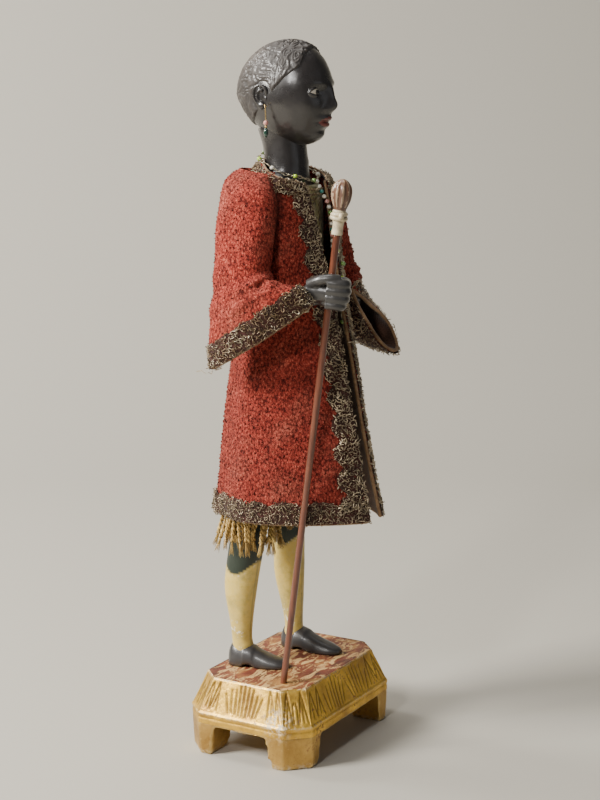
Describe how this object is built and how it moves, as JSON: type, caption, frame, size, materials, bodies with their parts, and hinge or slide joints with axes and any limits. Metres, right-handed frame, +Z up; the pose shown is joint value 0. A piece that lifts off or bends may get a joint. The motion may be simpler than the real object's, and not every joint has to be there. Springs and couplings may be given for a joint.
{
  "type": "carved wooden attendant figure",
  "caption": "Carved wooden butler figure in a long open cloth coat with metal lace, holding a staff, on a gilded plinth with feet.",
  "frame": {"origin": "middle of the whole model's box, on the surface it stands on", "axes": "+Z up; the figure faces -Y and its left is +X"},
  "size_m": [0.127, 0.1064, 0.4223],
  "materials": {
    "gilding": "gold leaf over red ground on carved wood, rubbed at the edges",
    "ebonised": "satin black paint on carved wood",
    "coat": "looped pile cloth",
    "lace": "crimped metal thread",
    "silk": "worn silk",
    "breeches": "dark cloth",
    "fringe": "twisted gold thread",
    "linen": "plain linen",
    "rod": "varnished",
    "bone": "cream lacquer on carved wood",
    "bud": "stained, with paler ribs",
    "beads": "opaque glass beads on wire",
    "wire": "drawn brass wire"
  },
  "bodies": {
    "root": {"plinth": "gilding", "figure": "ebonised", "coat": "coat", "hem_lace": "lace", "front_lace_right": "lace", "front_lace_left": "lace", "cuff_lace_right": "lace", "cuff_lace_left": "lace", "waistcoat": "silk", "breeches": "breeches", "fringe_right": "fringe", "fringe_left": "fringe", "shirt_cuff_right": "linen", "shirt_cuff_left": "linen", "staff_rod": "rod", "staff_ferrule": "bone", "staff_knob": "bud", "necklace": "beads", "earring_right": "wire", "earring_left": "wire", "coat_toggle": "ebonised"}
  },
  "joints": []
}
